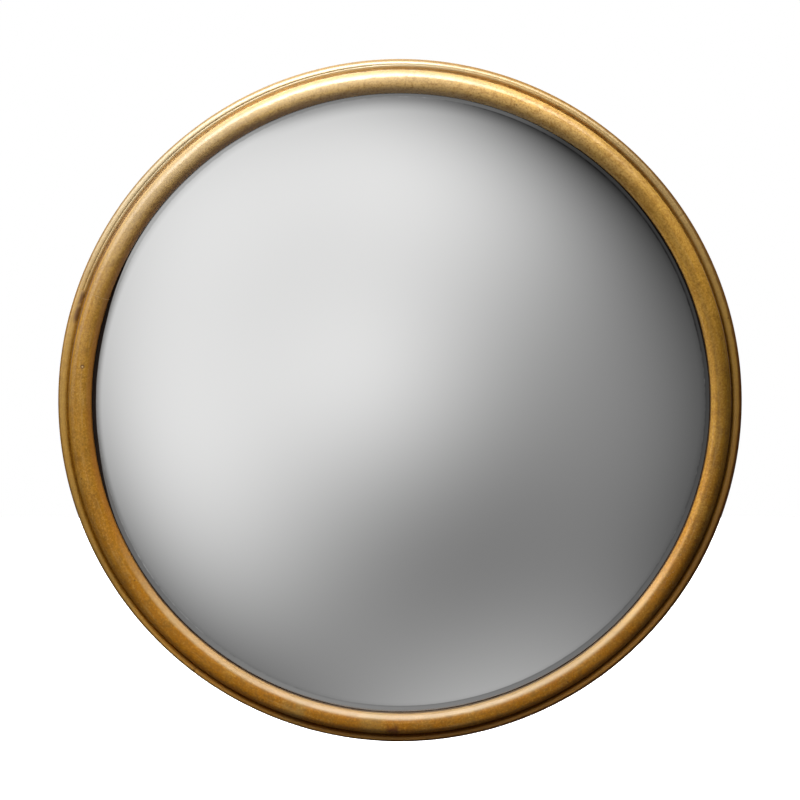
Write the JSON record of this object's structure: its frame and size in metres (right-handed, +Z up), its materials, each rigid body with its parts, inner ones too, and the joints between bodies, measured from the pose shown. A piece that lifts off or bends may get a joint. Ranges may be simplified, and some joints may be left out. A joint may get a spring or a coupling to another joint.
{
  "type": "convex wall mirror",
  "caption": "Round convex wall mirror in a brass-clad moulded frame, with a backboard held by turn buttons and hinged rings for hanging.",
  "frame": {"origin": "centre of the rear face, in the plane of the wall", "axes": "+Y into the wall, the mirror faces -Y, +Z up, +X to the right as seen from the front"},
  "size_m": [0.4, 0.0476, 0.4],
  "materials": {
    "aged_brass": "aged, rubbed bright on the bead, dark in the groove",
    "solder": "dull brown solder",
    "strip_brass": "mill finish",
    "turned_wood": "turned hardwood, stained",
    "mirror": "polished bent glass, silvered behind",
    "black_felt": "black felt strip",
    "grey_foam": "closed-cell foam",
    "cork": "cork",
    "hardboard": "brown hardboard, smooth side out",
    "button_brass": "plain turned and stamped brass",
    "plain_brass": "plain brass",
    "screw_steel": "zinc plated steel",
    "strap_metal": "nickel plated steel, dulled",
    "ring_metal": "nickel plated steel wire"
  },
  "bodies": {
    "mirror_frame": {"brass_moulding": "aged_brass", "seam_solder": "solder", "seam_backing_strip": "strip_brass", "wooden_core_ring": "turned_wood", "mirror_glass": "mirror", "glass_gasket": "black_felt", "rim_cushion": "grey_foam", "centring_shims": "cork", "backboard": "hardboard", "turn_button_washers": "plain_brass", "turn_button_screws": "screw_steel", "hanger_strap_screws": "screw_steel", "hanger_strap_right": "strap_metal", "hanger_strap_left": "strap_metal", "flange_pins": "plain_brass"},
    "turn_button_1": {"turn_button_1": "button_brass"},
    "turn_button_2": {"turn_button_2": "button_brass"},
    "turn_button_3": {"turn_button_3": "button_brass"},
    "turn_button_4": {"turn_button_4": "button_brass"},
    "turn_button_5": {"turn_button_5": "button_brass"},
    "turn_button_6": {"turn_button_6": "button_brass"},
    "hanger_ring_right": {"hanger_ring_right": "ring_metal"},
    "hanger_ring_left": {"hanger_ring_left": "ring_metal"}
  },
  "joints": [
    {"name": "turn_button_1_pivot", "type": "hinge", "parent": "mirror_frame", "child": "turn_button_1", "pos_m": [0.16498, -0.0049, 0.09525], "axis": [0, 1, 0], "range_deg": [-90, 90]},
    {"name": "turn_button_2_pivot", "type": "hinge", "parent": "mirror_frame", "child": "turn_button_2", "pos_m": [0, -0.0049, 0.1905], "axis": [0, 1, 0], "range_deg": [-90, 90]},
    {"name": "turn_button_3_pivot", "type": "hinge", "parent": "mirror_frame", "child": "turn_button_3", "pos_m": [-0.16498, -0.0049, 0.09525], "axis": [0, 1, 0], "range_deg": [-90, 90]},
    {"name": "turn_button_4_pivot", "type": "hinge", "parent": "mirror_frame", "child": "turn_button_4", "pos_m": [-0.16498, -0.0049, -0.09525], "axis": [0, 1, 0], "range_deg": [-90, 90]},
    {"name": "turn_button_5_pivot", "type": "hinge", "parent": "mirror_frame", "child": "turn_button_5", "pos_m": [0, -0.0049, -0.1905], "axis": [0, 1, 0], "range_deg": [-90, 90]},
    {"name": "turn_button_6_pivot", "type": "hinge", "parent": "mirror_frame", "child": "turn_button_6", "pos_m": [0.16498, -0.0049, -0.09525], "axis": [0, 1, 0], "range_deg": [-90, 90]},
    {"name": "hanger_ring_right_hinge", "type": "hinge", "parent": "mirror_frame", "child": "hanger_ring_right", "pos_m": [0.10095, -0.0038, 0.14417], "axis": [0.8192, 0, -0.5736], "range_deg": [0, 150]},
    {"name": "hanger_ring_left_hinge", "type": "hinge", "parent": "mirror_frame", "child": "hanger_ring_left", "pos_m": [-0.10095, -0.0038, 0.14417], "axis": [0.8192, 0, 0.5736], "range_deg": [0, 150]}
  ]
}
